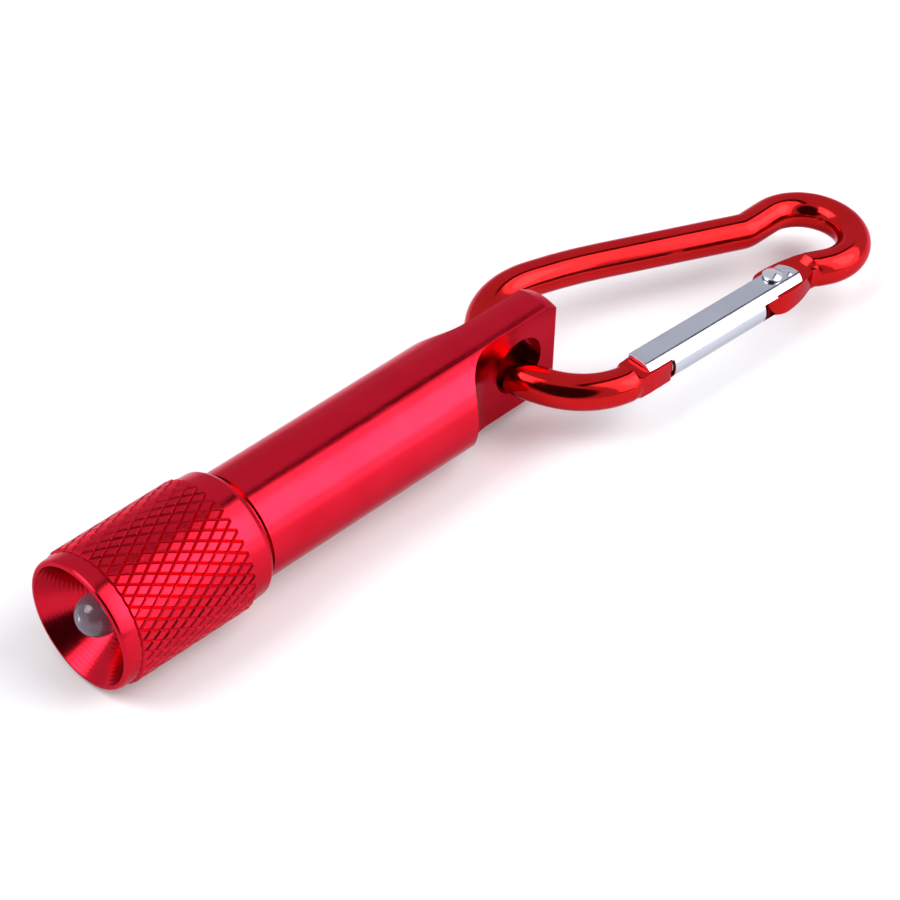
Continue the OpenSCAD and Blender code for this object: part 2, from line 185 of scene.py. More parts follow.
hang_softbox(
    "right_softbox", RIGHT_LIGHT, RIGHT_UP, width=0.9, height=1.28, brightness=2.6, core=2.8, core_share=0.55)
flag = hang_flag("top_flag", RIGHT_LIGHT, RIGHT_UP, offset=0.77, width=1.3, height=0.24)
hang_softbox(
    "left_softbox", LEFT_LIGHT, LEFT_UP, width=0.6, height=0.62, brightness=4.0, core=2.0, core_share=0.5)

# %% Lay the floor
FLOOR_WIDTH = 6
bpy.ops.mesh.primitive_plane_add(size=FLOOR_WIDTH, location=(0, 0, FLOOR))
floor = bpy.context.object
floor.name = "floor"
bpy.context.scene.view_settings.view_transform = "Standard"
print("floor at", round(FLOOR / MM, 2), "mm")


# %% [markdown]
# ## Small helpers
#
# An operator works on whatever is selected, and loading the frame leaves its nodes
# selected. So every new piece starts from an empty selection, and faces or points are
# picked in code by where they are.

# %% Start a piece and pick parts of it
def start_fresh():
    """Leaves edit mode, with nothing selected."""
    if bpy.context.object and bpy.context.object.mode != "OBJECT":
        bpy.ops.object.mode_set(mode="OBJECT")
    bpy.ops.object.select_all(action="DESELECT")


def select_only(piece):
    """Makes a piece the one that the next operator works on."""
    start_fresh()
    piece.select_set(True)
    bpy.context.view_layer.objects.active = piece


def named(name):
    """Names the new primitive, and moves its place and turn into its mesh."""
    piece = bpy.context.object
    piece.name = piece.data.name = name
    bpy.ops.object.transform_apply(location=True, rotation=True, scale=True)
    return piece


def clear_picks(select_mode):
    """Deselects the active mesh all over, and sets what is picked next."""
    bpy.ops.object.mode_set(mode="EDIT")
    bpy.ops.mesh.select_mode(type=select_mode)
    bpy.ops.mesh.select_all(action="DESELECT")
    bpy.ops.object.mode_set(mode="OBJECT")


def pick_points(piece, wanted):
    """Selects the points whose place passes a test, and stays in edit mode."""
    clear_picks("VERT")
    for point in piece.data.vertices:
        point.select = wanted(point.co)
    bpy.ops.object.mode_set(mode="EDIT")


def pick_faces(piece, wanted=lambda centre, normal: True):
    """Selects the faces whose middle and normal pass a test, and stays in edit mode."""
    clear_picks("FACE")
    for face in piece.data.polygons:
        face.select = wanted(face.center, face.normal)
    bpy.ops.object.mode_set(mode="EDIT")


def pick_edges(piece, wanted):
    """Selects the edges whose two ends pass a test, and stays in edit mode."""
    clear_picks("EDGE")
    points = piece.data.vertices
    for edge in piece.data.edges:
        edge.select = wanted(points[edge.vertices[0]].co, points[edge.vertices[1]].co)
    bpy.ops.object.mode_set(mode="EDIT")


print("picks faces, edges or points by place")

# %% Cut, break edges and finish
MERGE = 1e-7


def apply_modifier(piece, kind, **settings):
    """Adds a modifier and applies it at once."""
    select_only(piece)
    modifier = piece.modifiers.new(kind.lower(), kind)
    for key, value in settings.items():
        setattr(modifier, key, value)
    bpy.ops.object.modifier_apply(modifier=modifier.name)


def cut_away(piece, cutter):
    """Takes the cutter's shape out of the piece, then removes the cutter."""
    apply_modifier(piece, "BOOLEAN", operation="DIFFERENCE", solver="EXACT", object=cutter)
    bpy.data.objects.remove(cutter)


def drill(name, radius, depth, location, axis_turn=(0, 0, 0), sides=48):
    """A round cutter in millimetres. It stands along Z unless it is turned."""
    start_fresh()
    bpy.ops.mesh.primitive_cylinder_add(
        vertices=sides, radius=radius * MM, depth=depth * MM, location=location, rotation=axis_turn)
    return named(name)


def chamfer_edges(piece, width, sharper_than, where=lambda a, b: True, segments=1):
    """Breaks the sharp edges between points that pass a test, as a deburring wheel does."""
    select_only(piece)
    bpy.ops.object.mode_set(mode="EDIT")
    bpy.ops.mesh.select_mode(type="EDGE")
    bpy.ops.mesh.select_all(action="DESELECT")
    bpy.ops.mesh.edges_select_sharp(sharpness=math.radians(sharper_than))
    bpy.ops.object.mode_set(mode="OBJECT")
    points = piece.data.vertices
    for edge in piece.data.edges:
        if edge.select and not where(points[edge.vertices[0]].co, points[edge.vertices[1]].co):
            edge.select = False
    bpy.ops.object.mode_set(mode="EDIT")
    bpy.ops.mesh.bevel(
        offset=width * MM, offset_type="OFFSET", segments=segments, affect="EDGES", clamp_overlap=True)
    bpy.ops.object.mode_set(mode="OBJECT")


def edge_uses(piece):
    """How many faces meet at each edge, which is two all over a closed piece."""
    uses = [0] * len(piece.data.edges)
    for face in piece.data.polygons:
        for loop in face.loop_indices:
            uses[piece.data.loops[loop].edge_index] += 1
    return uses


def finish_mesh(piece, smooth_below=28):
    """Merges seams, turns all faces outward, and shades gentle turns smooth."""
    select_only(piece)
    bpy.ops.object.mode_set(mode="EDIT")
    bpy.ops.mesh.select_mode(type="VERT")
    bpy.ops.mesh.select_all(action="SELECT")
    bpy.ops.mesh.remove_doubles(threshold=MERGE)
    bpy.ops.mesh.select_all(action="SELECT")
    bpy.ops.mesh.normals_make_consistent(inside=False)
    bpy.ops.object.mode_set(mode="OBJECT")
    bpy.ops.object.shade_smooth_by_angle(angle=math.radians(smooth_below))
    loose = sum(1 for count in edge_uses(piece) if count != 2)
    low = [min(v.co[k] for v in piece.data.vertices) / MM for k in range(3)]
    high = [max(v.co[k] for v in piece.data.vertices) / MM for k in range(3)]
    print(piece.name, len(piece.data.polygons), "faces, open edges", loose,
          "box", [round(v, 2) for v in low], [round(v, 2) for v in high])


print("seams nearer than", MERGE / MM, "mm are merged")


# %% [markdown]
# ## A lathe
#
# Most of this object is turned, so one helper does a lathe's work: a ring of points is
# extruded from station to station along X, and scaled to the radius of each.

# %% Make the lathe
def turn(name, stations, segments, close_start=False, close_end=False, origin=RIM):
    """Turns a piece about the torch's axis, as on a lathe. Each station is a place behind the
    rim and a radius in millimetres: the ring is extruded to it and scaled to its radius."""
    start_fresh()
    places = [(origin + x * MM, r * MM) for x, r in stations]
    bpy.ops.mesh.primitive_circle_add(
        vertices=segments, radius=places[0][1], fill_type="NOTHING",
        location=(places[0][0], 0, 0), rotation=(0, math.pi / 2, 0))
    piece = named(name)
    bpy.ops.object.mode_set(mode="EDIT")
    bpy.ops.mesh.select_all(action="SELECT")
    if close_start:
        bpy.ops.mesh.edge_face_add()
        bpy.ops.object.mode_set(mode="OBJECT")
        piece.data.polygons[0].select = False
        bpy.ops.object.mode_set(mode="EDIT")
        bpy.ops.mesh.select_mode(type="EDGE")
        bpy.ops.mesh.select_non_manifold()
    for (x0, r0), (x1, r1) in zip(places, places[1:]):
        bpy.ops.mesh.extrude_edges_move(TRANSFORM_OT_translate={"value": (x1 - x0, 0, 0)})
        bpy.ops.transform.resize(value=(1, r1 / r0, r1 / r0), center_override=(x1, 0, 0))
    if close_end:
        bpy.ops.mesh.edge_face_add()
    bpy.ops.object.mode_set(mode="OBJECT")
    return piece


print("lathe ready")


# %% [markdown]
# ## The head
#
# The head is one turned shell. Its front is a polished cone that throws the light
# forward, its back a skirt over the barrel's neck, and its outside a band of diamond
# knurl between smooth lands. It could be a cylinder with a bump texture, but the
# diamonds show on the outline and catch the light one by one, so they are real. The
# shell is turned ring by ring with two columns for each diamond. Its stations are
# listed in the order a finger would follow: round the rim, along the outside, and back
# through the inside to the cone, whose turning marks are a small wave.

# %% Turn the head's shell
DIAMONDS_ROUND = 37
COLUMNS = 2 * DIAMONDS_ROUND
KNURL_ROWS = 13
KNURL_FROM, KNURL_TO = 2.3, 18.1
GROOVE_R, FLAT_R = 8.09, 8.3
KNURL_EDGE, STEP_W = 0.1, 0.04
PEAK_CUT = 0.67
PEAK_R = GROOVE_R + (FLAT_R - GROOVE_R) / (1 - PEAK_CUT)
CONE_MOUTH, CONE_FLOOR, CONE_DEPTH = 7.35, 2.62, 6.4
CONE_MARKS = 64
MARK_HEIGHT = 0.012
THREAD_TURNS, THREAD_PITCH, THREAD_W = 6, 0.8, 0.64
THREAD_FROM = 13.3
FRONT_LAND_R, HEAD_END = 8.0, 21.4
SKIRT_BORE_R, SKIRT_FLOOR = 7.17, 18.6
NUT_R, NUT_ROOT_R = 6.67, 6.95
POCKET_R, FLANGE_R = 6.15, 3.0


def row_place(row):
    """How far behind the rim a row of the knurl's points lies."""
    return KNURL_FROM + (KNURL_TO - KNURL_FROM) * row / KNURL_ROWS


def v_grooves(first, land, root):
    """Stations of the thread's V grooves, one for each turn."""
    stations = []
    for k in range(THREAD_TURNS):
        middle = first + k * THREAD_PITCH
        stations += [(middle - THREAD_W / 2, land), (middle, root), (middle + THREAD_W / 2, land)]
    return stations


rolled_rim = [(0, CONE_MOUTH), (0, 7.6), (0.07, 7.78), (0.25, 7.92), (0.7, FRONT_LAND_R)]
outside = rolled_rim + [(KNURL_FROM - KNURL_EDGE - STEP_W, FRONT_LAND_R)]
outside.append((KNURL_FROM - KNURL_EDGE, GROOVE_R))
outside += [(row_place(row), GROOVE_R) for row in range(KNURL_ROWS + 1)]
outside += [(KNURL_TO + KNURL_EDGE, GROOVE_R), (KNURL_TO + KNURL_EDGE + STEP_W, 7.95), (20.6, 7.86)]
chamfered_back = [(20.8, 7.82), (HEAD_END, 7.4), (HEAD_END, 7.27), (HEAD_END - 0.1, SKIRT_BORE_R)]
skirt = [(SKIRT_FLOOR, SKIRT_BORE_R), (SKIRT_FLOOR, NUT_R)]
thread = list(reversed(v_grooves(THREAD_FROM + THREAD_PITCH / 2, NUT_R, NUT_ROOT_R)))
lamp_pocket = [(11.85, NUT_R), (11.55, POCKET_R), (8.7, POCKET_R), (8.7, FLANGE_R), (7.6, FLANGE_R)]
lamp_pocket.append((7.6, CONE_FLOOR))
cone = []
for mark in range(CONE_MARKS + 1):
    share = mark / CONE_MARKS
    wave = MARK_HEIGHT * math.sin(mark * math.pi / 2)
    cone.append((CONE_DEPTH * (1 - share), CONE_FLOOR + (CONE_MOUTH - CONE_FLOOR) * share + wave))
head_stations = outside + chamfered_back + skirt + thread + lamp_pocket + cone
knurled_head = turn("knurled_head", head_stations, COLUMNS)
print("rings:", len(head_stations))


# %% [markdown]
# ## The knurl
#
# A knurling wheel presses crossing grooves and leaves diamonds between them. Here every
# other point of the knurl's rows is lifted into a peak, and each peak is cut off flat,
# which leaves V grooves crossing at sixty degrees.

# %% Raise and cut the knurl's diamonds
IN_ROW = 0.02


def knurl_cell(co):
    """The (column, row) of a point of the knurl, or None elsewhere on the head."""
    x = (co.x - RIM) / MM
    row = (x - KNURL_FROM) / (KNURL_TO - KNURL_FROM) * KNURL_ROWS
    radius = math.hypot(co.y, co.z) / MM
    if radius < GROOVE_R - 0.01 or abs(row - round(row)) > IN_ROW or not 0 <= round(row) <= KNURL_ROWS:
        return None
    column = round(math.atan2(co.z, co.y) / (2 * math.pi) * COLUMNS)
    return column % COLUMNS, round(row)


def is_peak(co):
    """Peaks stand on every other cell, as the black squares of a chessboard do."""
    cell = knurl_cell(co)
    return cell is not None and sum(cell) % 2 == 1


pick_points(knurled_head, is_peak)
bpy.ops.transform.resize(value=(1, PEAK_R / GROOVE_R, PEAK_R / GROOVE_R), center_override=(0, 0, 0))
pick_points(knurled_head, lambda co: knurl_cell(co) is not None)
bpy.ops.mesh.quads_convert_to_tris(quad_method="SHORTEST_DIAGONAL")
pick_points(knurled_head, is_peak)
bpy.ops.mesh.bevel(offset_type="PERCENT", offset_pct=100 * PEAK_CUT, affect="VERTICES", segments=1)
finish_mesh(knurled_head, smooth_below=24)


# %% [markdown]
# ## The barrel
#
# The barrel is a tube that is closed at its tail. It is turned in one go from the floor
# of its bore, out over the thread of its neck, and back along its outside.

# %% Turn the barrel
BARREL_SIDES = 128
BARREL_R, BORE_R, NECK_R, NECK_ROOT_R = 6.75, 5.97, 6.62, 6.35
BORE_FLOOR, NECK_FROM, SHOULDER_AT = 38.0, 12.5, 19.35
SEAL_GROOVE = (19.82, 20.68, 6.36)
RELIEF = (21.05, 22.25, 6.4)

barrel_stations = [(BORE_FLOOR, BORE_R), (NECK_FROM, BORE_R), (NECK_FROM, 6.22), (NECK_FROM + 0.4, NECK_R)]
barrel_stations += v_grooves(THREAD_FROM, NECK_R, NECK_ROOT_R)
barrel_stations += [(SHOULDER_AT, NECK_R), (SHOULDER_AT, 6.65), (SHOULDER_AT + 0.1, BARREL_R)]
for groove_from, groove_to, groove_r in (SEAL_GROOVE, RELIEF):
    barrel_stations += [
        (groove_from, BARREL_R), (groove_from, groove_r), (groove_to, groove_r), (groove_to, BARREL_R)]
barrel_stations += [(69.2, BARREL_R), (70.9, 5.85)]
turned_barrel = turn("turned_barrel", barrel_stations, BARREL_SIDES, close_start=True, close_end=True)
finish_mesh(turned_barrel)


# %% [markdown]
# ## The tab
#
# The tail is milled: a cutter runs across each side to leave the flat tab, with a hollow
# of the cutter's shape at its foot, and a hole is drilled through. Cutting away with
# solids follows the same order as the workshop. A cutter's plan is a disc whose far half
# is stretched straight. The broken edges come last, as thin flat chamfers, and they give
# the tab its fine bright outline.

# %% Mill the tab and drill its hole
TAB_FROM, TAB_HALF, CUTTER_R, CUTTER_TALL = 60.35, 2.25, 7.0, 20
HOLE_AT, HOLE_R = 64.9, 3.7
TAB_EDGES_FROM, BROKEN_EDGE = 53, 0.1
ABOUT_ZERO = 1e-7


def round_ended(name, centre, radius, sides, way_out, stretch, tall):
    """A block from a disc: one half stays round, the half along X in the way given is stretched."""
    start_fresh()
    bpy.ops.mesh.primitive_circle_add(
        vertices=sides, radius=radius * MM, fill_type="NGON", location=(centre[0], centre[1], -tall / 2 * MM))
    solid = named(name)
    start = centre[0] + way_out * 1e-6
    for side in (-1, 1):
        wall = centre[1] + side * radius * MM
        pick_points(
            solid, lambda co: (co.x - start) * way_out > 0 and (co.y - centre[1]) * side > -ABOUT_ZERO)
        bpy.ops.transform.resize(value=(stretch, 0, 1), center_override=(start, wall, 0))
    pick_faces(solid)
    bpy.ops.mesh.extrude_region_move(TRANSFORM_OT_translate={"value": (0, 0, tall * MM)})
    bpy.ops.object.mode_set(mode="OBJECT")
    finish_mesh(solid)
    return solid


for side in (-1, 1):
    cutter_centre = (RIM + TAB_FROM * MM, side * (TAB_HALF + CUTTER_R) * MM)
    cut_away(turned_barrel, round_ended("cutter", cutter_centre, CUTTER_R, 120, 1, 5, CUTTER_TALL))
cut_away(turned_barrel, drill(
    "hole_drill", HOLE_R, 30, (RIM + HOLE_AT * MM, 0, 0), axis_turn=(math.pi / 2, 0, 0), sides=96))
tab_edges_from = RIM + TAB_EDGES_FROM * MM
chamfer_edges(turned_barrel, BROKEN_EDGE, 25, lambda a, b: min(a.x, b.x) > tab_edges_from)
finish_mesh(turned_barrel, smooth_below=20)


# %% [markdown]
# ## The snap hook's frame
#
# The frame is one length of round wire, bent over formers. It is made the way it is
# bent: a ring of points is pushed straight along, then spun about the centre of each
# bend. It is drawn flat, in the hook's own plane, and set into the torch's tab later.

# %% Bend the wire
WIRE_R = 2.2
WIRE_SIDES = 40
# Each corner of the wire's centre line: its place in the hook's plane and its bend's radius
BEND_POINTS = [
    (8.5, -12.08, 0), (3.1, -11, 9.7), (-1, -1.3, 9.7), (4.9, 11.6, 11.3), (19.1, 7.9, 60),
    (41.3, -1.6, 2.8), (50.3, -1.4, 6), (54.4, -17.1, 5.9), (40.6, -12, 0)]
DEGREES_A_STEP = 5
# With no window, spin turns the other way from the angle that it is given
SPIN_WAY = -1


def heading(a, b):
    """The angle in the hook's plane of the way from one point to the next."""
    return math.atan2(b[1] - a[1], b[0] - a[0])


def in_plane(x, y):
    """A place in the hook's plane, from millimetres."""
    return Vector((x * MM, y * MM, 0))


def ring_centre(piece):
    """The middle of what is selected in edit mode."""
    bpy.ops.object.mode_set(mode="OBJECT")
    points = [v.co for v in piece.data.vertices if v.select]
    bpy.ops.object.mode_set(mode="EDIT")
    return sum(points, Vector()) / len(points)


def push(piece, x, y, turn_by=0.0, wider=1.0):
    """Extrudes the selected ring to a place, turned and widened there."""
    here = ring_centre(piece)
    there = in_plane(x, y)
    bpy.ops.mesh.extrude_edges_move(TRANSFORM_OT_translate={"value": there - here})
    if turn_by:
        bpy.ops.transform.rotate(value=-turn_by, orient_axis="Z", center_override=there)
    if wider != 1.0:
        bpy.ops.transform.resize(value=(1, wider, 1), center_override=there)


def bend_wire(name, path, radius, sides):
    """Straight runs and spun bends through corner points of (x, y, bend radius)."""
    start_fresh()
    bpy.ops.mesh.primitive_circle_add(
        vertices=sides, radius=radius * MM, location=in_plane(*path[0][:2]),
        rotation=(0, math.pi / 2, heading(path[0], path[1])))
    wire = named(name)
    bpy.ops.object.mode_set(mode="EDIT")
    bpy.ops.mesh.select_all(action="SELECT")
    for before, corner, after in zip(path, path[1:], path[2:]):
        arrive, leave = heading(before, corner), heading(corner, after)
        turn_angle = (leave - arrive + math.pi) % (2 * math.pi) - math.pi
        setback = corner[2] * abs(math.tan(turn_angle / 2))
        side = 1 if turn_angle > 0 else -1
        x = corner[0] - setback * math.cos(arrive)
        y = corner[1] - setback * math.sin(arrive)
        push(wire, x, y)
        sideways = side * corner[2]
        centre = Vector((x - sideways * math.sin(arrive), y + sideways * math.cos(arrive), 0)) * MM
        steps = max(3, round(abs(math.degrees(turn_angle)) / DEGREES_A_STEP))
        bpy.ops.mesh.spin(steps=steps, angle=SPIN_WAY * turn_angle, center=centre, axis=(0, 0, 1))
    return wire


hook_wire = bend_wire("bent_hook", BEND_POINTS, WIRE_R, WIRE_SIDES)
end = ring_centre(hook_wire) / MM
print("wire ends its last bend at", [round(v, 2) for v in end])


# %% [markdown]
# ## The pressed tongues
#
# Both ends of the wire are squeezed between flat dies, so that the gate's thin arms can
# reach round them. The round ring is drawn to the tongue's width, and one ring is then
# squared: the points near its top and bottom go to the tongue's two faces, and those
# near its sides go upright. What is extruded after it keeps that square shape. The hinge
# tongue ends in a half circle, made by narrowing ring after ring.

# %% Make the press
TONGUE_HALF = 1.45
FLAT_FROM, SIDE_FROM = 0.57, 0.8
GATE_SIDE = -8


def press_ring(piece, x, y, half_wide):
    """Squares the ring at x: a flat top and bottom, upright sides. Leaves that ring selected."""
    def in_ring(co):
        return abs(co.x / MM - x) < 0.01 and co.y / MM < GATE_SIDE

    for way in (-1, 1):
        pick_points(piece, lambda co: in_ring(co) and way * co.z / MM > FLAT_FROM * WIRE_R)
        bpy.ops.transform.resize(value=(1, 1, 0), center_override=(0, 0, way * TONGUE_HALF * MM))
        pick_points(piece, lambda co: in_ring(co) and way * (co.y / MM - y) > SIDE_FROM * half_wide)
        bpy.ops.transform.resize(value=(1, 0, 1), center_override=(0, (y + way * half_wide) * MM, 0))
    pick_points(piece, in_ring)


print("dies close to", 2 * TONGUE_HALF, "mm")

# %% Press the hinge tongue
HINGE_TONGUE, HINGE_TONGUE_R = (34.7, -12.0), 2.65
# Each ring of the neck: its place, and half its width
NECK = (
    (40.2, -11.75, 1.75), (39.2, -11.8, 2.0), (38.2, -11.87, 2.25), (37.0, -11.93, 2.45),
    (35.8, -11.98, 2.6))
TIP_RINGS, TIP_STEP = 8, 10

tongue_x, tongue_y = HINGE_TONGUE
half_turn = (math.pi - heading(BEND_POINTS[-2], BEND_POINTS[-1])) / 2
push(hook_wire, 42.1, -12.4)
push(hook_wire, 41.5, -12.05, turn_by=half_turn)
push(hook_wire, 41.0, -11.9, turn_by=half_turn)
half = WIRE_R
for x, y, next_half in NECK + ((tongue_x, tongue_y, HINGE_TONGUE_R),):
    push(hook_wire, x, y, wider=next_half / half)
    if half == WIRE_R:
        press_ring(hook_wire, x, y, next_half)
    half = next_half
for step in range(1, TIP_RINGS + 1):
    angle, before = math.radians(TIP_STEP * step), math.radians(TIP_STEP * (step - 1))
    ring_x = tongue_x - HINGE_TONGUE_R * math.sin(angle)
    push(hook_wire, ring_x, tongue_y, wider=math.cos(angle) / math.cos(before))
bpy.ops.mesh.edge_face_add()
print("hinge tongue pressed, half width", HINGE_TONGUE_R)

# %% Press the nose tongue and soften both
NOSE_MIDDLE, NOSE_HALF, NOSE_END = -12.0, 2.02, 14.6
ROOT_AT, ROOT_SHARE, FULL_AT = 9.4, 0.96, 10.9
TIP_SHARE = 0.93
TONGUE_EDGE = 0.2

first = in_plane(*BEND_POINTS[0][:2])
pick_points(hook_wire, lambda co: (co - first).length < (WIRE_R + 0.005) * MM)
push(hook_wire, 8.9, NOSE_MIDDLE, turn_by=-heading(BEND_POINTS[1], BEND_POINTS[0]))
push(hook_wire, ROOT_AT, NOSE_MIDDLE, wider=ROOT_SHARE * NOSE_HALF / WIRE_R)
press_ring(hook_wire, ROOT_AT, NOSE_MIDDLE, ROOT_SHARE * NOSE_HALF)
push(hook_wire, FULL_AT, NOSE_MIDDLE, wider=1 / ROOT_SHARE)
push(hook_wire, NOSE_END - 0.4, NOSE_MIDDLE)
push(hook_wire, NOSE_END - 0.1, NOSE_MIDDLE, wider=TIP_SHARE)
push(hook_wire, NOSE_END, NOSE_MIDDLE, wider=TIP_SHARE)
bpy.ops.mesh.edge_face_add()
bpy.ops.object.mode_set(mode="OBJECT")
finish_mesh(hook_wire)
chamfer_edges(hook_wire, TONGUE_EDGE, 60, lambda a, b: max(a.y, b.y) < GATE_SIDE * MM, segments=2)
finish_mesh(hook_wire)


# %% [markdown]
# ## The gate
#
# The gate is a strip of bright steel folded into a channel. A block with three faces
# deleted is already the fold: its two back edges are rounded, and the strip then gets
# its thickness.

# %% Fold the gate
GATE_NOSE, GATE_BACK, GATE_FRONT = 10.9, -14.15, -10.05
GATE_HALF, GATE_SHEET, GATE_BEND = 2.05, 0.5, 2.0
GATE_MIDDLE = (GATE_BACK + GATE_FRONT) / 2
GATE_END, GATE_END_R = (35.2, GATE_MIDDLE), 2.8
gate_far = GATE_END[0] + GATE_END_R


def block(name, low, high):
    """A box between two corners in millimetres, in the hook's own frame."""
    start_fresh()
    low, high = Vector(low) * MM, Vector(high) * MM
    bpy.ops.mesh.primitive_cube_add(size=1, location=(low + high) / 2, scale=high - low)
    return named(name)


def along_fold(a, b):
    """True for the two long edges of the channel's back."""
    at_back = all(abs(co.y / MM - GATE_BACK) < 0.01 for co in (a, b))
    return at_back and abs(a.x - b.x) > 1 * MM


folded_gate = block("folded_gate", (GATE_NOSE, GATE_BACK, -GATE_HALF), (gate_far, GATE_FRONT, GATE_HALF))
pick_faces(folded_gate, lambda centre, normal: abs(normal.x) > 0.9 or normal.y > 0.9)
bpy.ops.mesh.delete(type="FACE")
pick_edges(folded_gate, along_fold)
bpy.ops.mesh.bevel(offset=GATE_BEND * MM, offset_type="OFFSET", segments=12, affect="EDGES")
bpy.ops.object.mode_set(mode="OBJECT")
finish_mesh(folded_gate)
apply_modifier(folded_gate, "SOLIDIFY", thickness=GATE_SHEET * MM, offset=-1)


# %% [markdown]
# ## Trimming the gate
#
# A press tool gives the channel a round end at the hinge, and cuts its back away at both
# ends, so that two thin arms reach round the pressed tongues. The first cut is what is
# common to the channel and a solid of its plan. The cuts in the back are wedges, because
# they taper. The channel leans a little on its nose before the rivet's hole is drilled.

# %% Trim the gate
WEB_FROM, WEB_TO = 14.9, 30.7
NOSE_CUT, HINGE_CUT = (1.3, 1.55), (1.25, 1.2)
GATE_LEAN = 0.9
HINGE, RIVET_R = (34.8, -11.5), 0.9
DRILL_DEEP = 8
GATE_EDGE = 0.05


def web_cutter(inner_x, outer_x, inner_half, outer_half):
    """A wedge that clears the back of the channel between its arms."""
    cutter = block("web_cutter", (min(inner_x, outer_x), GATE_BACK - 1, -inner_half),
                   (max(inner_x, outer_x), GATE_BACK + GATE_BEND + 0.1, inner_half))
    pick_points(cutter, lambda co: abs(co.x / MM - outer_x) < 0.01)
    bpy.ops.transform.resize(value=(1, 1, outer_half / inner_half), center_override=(0, 0, 0))
    bpy.ops.object.mode_set(mode="OBJECT")
    return cutter


gate_plan = round_ended("gate_plan", in_plane(*GATE_END), GATE_END_R, 64, -1, 10, 8)
apply_modifier(folded_gate, "BOOLEAN", operation="INTERSECT", solver="EXACT", object=gate_plan)
bpy.data.objects.remove(gate_plan)
cut_away(folded_gate, web_cutter(WEB_FROM, GATE_NOSE - 1, *NOSE_CUT))
cut_away(folded_gate, web_cutter(WEB_TO, gate_far + 1, *HINGE_CUT))
pick_faces(folded_gate)
bpy.ops.transform.rotate(
    value=math.radians(GATE_LEAN), orient_axis="Z", center_override=in_plane(GATE_NOSE, GATE_MIDDLE))
bpy.ops.object.mode_set(mode="OBJECT")
cut_away(folded_gate, drill("rivet_drill", RIVET_R, DRILL_DEEP, in_plane(*HINGE)))
chamfer_edges(folded_gate, GATE_EDGE, 30)
finish_mesh(folded_gate, smooth_below=24)


# %% [markdown]
# ## The dimple and the rivet
#
# A punch raises a small dimple on the gate's arm beside the rivet. The rivet has a low
# dome at each end. Both are turned like the head, lying along X, and then stood up.

# %% Punch the dimple and drill the tongue
DIMPLE_AT, DIMPLE_BALL, DIMPLE_H = (36.8, -12.1), 1.65, 0.2
DIMPLE_RADII = (0.79, 0.72, 0.62, 0.5, 0.38, 0.26, 0.12)
RIVET_PLAY = 0.05


def on_dome(top, ball, radii):
    """Stations over a dome that is part of a ball, from its rim to its top."""
    return [(top - ball + math.sqrt(ball**2 - r**2), r) for r in radii]


def stand_up(piece, x, y):
    """Turns a piece from lying along X to standing at a place in the hook's plane."""
    piece.matrix_world = Matrix.Translation(in_plane(x, y)) @ Matrix.Rotation(-math.pi / 2, 4, "Y")
    bpy.ops.object.transform_apply()
    finish_mesh(piece, smooth_below=40)


dimple_stations = [(GATE_HALF - 0.1, DIMPLE_RADII[0])]
dimple_stations += on_dome(GATE_HALF + DIMPLE_H, DIMPLE_BALL, DIMPLE_RADII)
dimple = turn("gate_dimple", dimple_stations, 32, close_start=True, close_end=True, origin=0)
stand_up(dimple, *DIMPLE_AT)
cut_away(hook_wire, drill("tongue_drill", RIVET_R + RIVET_PLAY, DRILL_DEEP, in_plane(*HINGE)))
finish_mesh(hook_wire)

# %% Turn the rivet
RIVET_HEAD_R, RIVET_RIM, RIVET_TOP, RIVET_BALL, HEAD_GAP = 1.25, 2.4, 2.8, 2.153, 0.06
RIVET_EDGE = 0.04
head_under = GATE_HALF + HEAD_GAP
dome = [(head_under, RIVET_HEAD_R - RIVET_EDGE), (head_under + RIVET_EDGE, RIVET_HEAD_R)]
dome.append((RIVET_RIM, RIVET_HEAD_R))
dome += on_dome(RIVET_TOP, RIVET_BALL, (1.2, 1.05, 0.85, 0.6, 0.35, 0.15))
shank = [(-head_under, RIVET_R), (head_under, RIVET_R)]
rivet_stations = [(-x, r) for x, r in reversed(dome)] + shank + dome
domed_rivet = turn("domed_rivet", rivet_stations, 48, close_start=True, close_end=True, origin=0)
stand_up(domed_rivet, *HINGE)

# %% Set the hook and its gate into the torch's tab
DROOP = 1.95
HANG = (64.3, 0, -1.0)
in_tab = Matrix.Translation(Vector((RIM + HANG[0] * MM, HANG[1] * MM, HANG[2] * MM))) @ Matrix.Rotation(
    math.radians(DROOP), 4, "Y")
for piece in (hook_wire, folded_gate, dimple, domed_rivet):
    select_only(piece)
    piece.matrix_world = in_tab
    bpy.ops.object.transform_apply(location=True, rotation=True, scale=True)
print("hook and gate set into the torch")


# %% [markdown]
# ## The lamp
#
# The lamp is a standard 5 mm one: clear epoxy cast round its leads, with a half-round
# front, a flange at the back and one flat on the flange. It is solid, so the metal cup
# and the yellow chip inside are magnified by the dome, as in the real one.

# %% Cast the lamp's lens
LAMP_R, LAMP_TIP, LAMP_BASE = 2.5, 0.1, 8.7
DOME_RINGS = 18
lamp_stations = []
for step in range(1, DOME_RINGS + 1):
    angle = math.pi / 2 * step / DOME_RINGS
    lamp_stations.append((LAMP_TIP + LAMP_R * (1 - math.cos(angle)), LAMP_R * math.sin(angle)))
lamp_stations += [(7.6, LAMP_R), (7.7, 2.6), (7.75, 2.88), (LAMP_BASE, 2.9)]
clear_lamp = turn("clear_lamp", lamp_stations, 64, close_start=True, close_end=True)
pick_points(clear_lamp, lambda co: co.z / MM < -LAMP_R and (co.x - RIM) / MM > LAMP_TIP + 2 * LAMP_R)
bpy.ops.transform.resize(value=(1, 1, 0), center_override=(0, 0, -LAMP_R * MM))
bpy.ops.object.mode_set(mode="OBJECT")
finish_mesh(clear_lamp, smooth_below=40)


